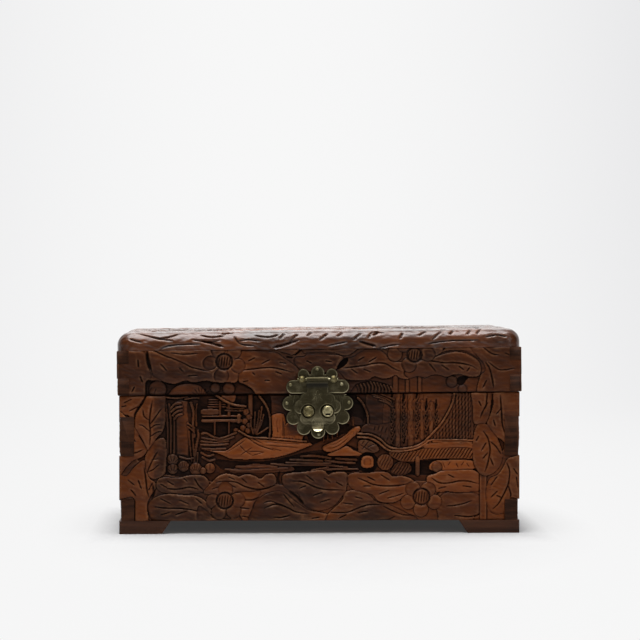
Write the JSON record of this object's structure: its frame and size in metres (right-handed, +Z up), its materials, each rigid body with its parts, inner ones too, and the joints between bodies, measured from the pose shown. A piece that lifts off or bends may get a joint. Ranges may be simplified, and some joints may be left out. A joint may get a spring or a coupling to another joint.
{
  "type": "keepsake box",
  "caption": "Carved, finger-jointed wooden keepsake box on bracket feet, with a hinged deep lid and a brass lock whose hasp drops over cross-bored knobs.",
  "frame": {"origin": "middle of the box's footprint on the table, lock included", "axes": "+X along the width to the right as seen from the front, -Y is the front with the lock, +Z up"},
  "size_m": [0.3004, 0.1719, 0.1522],
  "materials": {
    "carved_wood": "carved, stained dark in the cuts and waxed",
    "plain_wood": "plain sawn, stained and waxed",
    "lock_brass": "aged, dull brown-green with rubbed bright edges",
    "hinge_brass": "aged, semi-bright"
  },
  "bodies": {
    "box_body": {"front_panel": "carved_wood", "back_panel": "carved_wood", "left_panel": "carved_wood", "right_panel": "carved_wood", "floor_board": "plain_wood", "foot_front_left_face": "plain_wood", "foot_front_left_return": "plain_wood", "foot_front_right_face": "plain_wood", "foot_front_right_return": "plain_wood", "foot_back_left_face": "plain_wood", "foot_back_left_return": "plain_wood", "foot_back_right_face": "plain_wood", "foot_back_right_return": "plain_wood", "body_lock_plate": "lock_brass", "body_plate_nails": "lock_brass", "lock_knob_left": "lock_brass", "lock_knob_right": "lock_brass", "hinge_left_body_leaf": "hinge_brass", "hinge_left_pin": "hinge_brass", "hinge_right_body_leaf": "hinge_brass", "hinge_right_pin": "hinge_brass", "body_leaf_screws": "hinge_brass"},
    "lid": {"lid_board": "carved_wood", "lid_front_rail": "carved_wood", "lid_back_rail": "carved_wood", "lid_left_rail": "carved_wood", "lid_right_rail": "carved_wood", "lid_lock_plate": "lock_brass", "lid_plate_nails": "lock_brass", "rod_post_left": "lock_brass", "rod_post_right": "lock_brass", "hasp_rod": "lock_brass", "lid_leaf_screws": "hinge_brass", "hinge_left_lid_leaf": "hinge_brass", "hinge_right_lid_leaf": "hinge_brass"},
    "lock_hasp": {"hasp": "lock_brass"}
  },
  "joints": [
    {"name": "lid_open", "type": "hinge", "parent": "box_body", "child": "lid", "pos_m": [0, 0.08266, 0.1036], "axis": [-1, 0, -0.0096], "range_deg": [0, 105]},
    {"name": "hasp_swing", "type": "hinge", "parent": "lid", "child": "lock_hasp", "pos_m": [-0.00181, -0.08164, 0.11458], "axis": [-1, 0, -0.0096], "range_deg": [0, 175]}
  ]
}
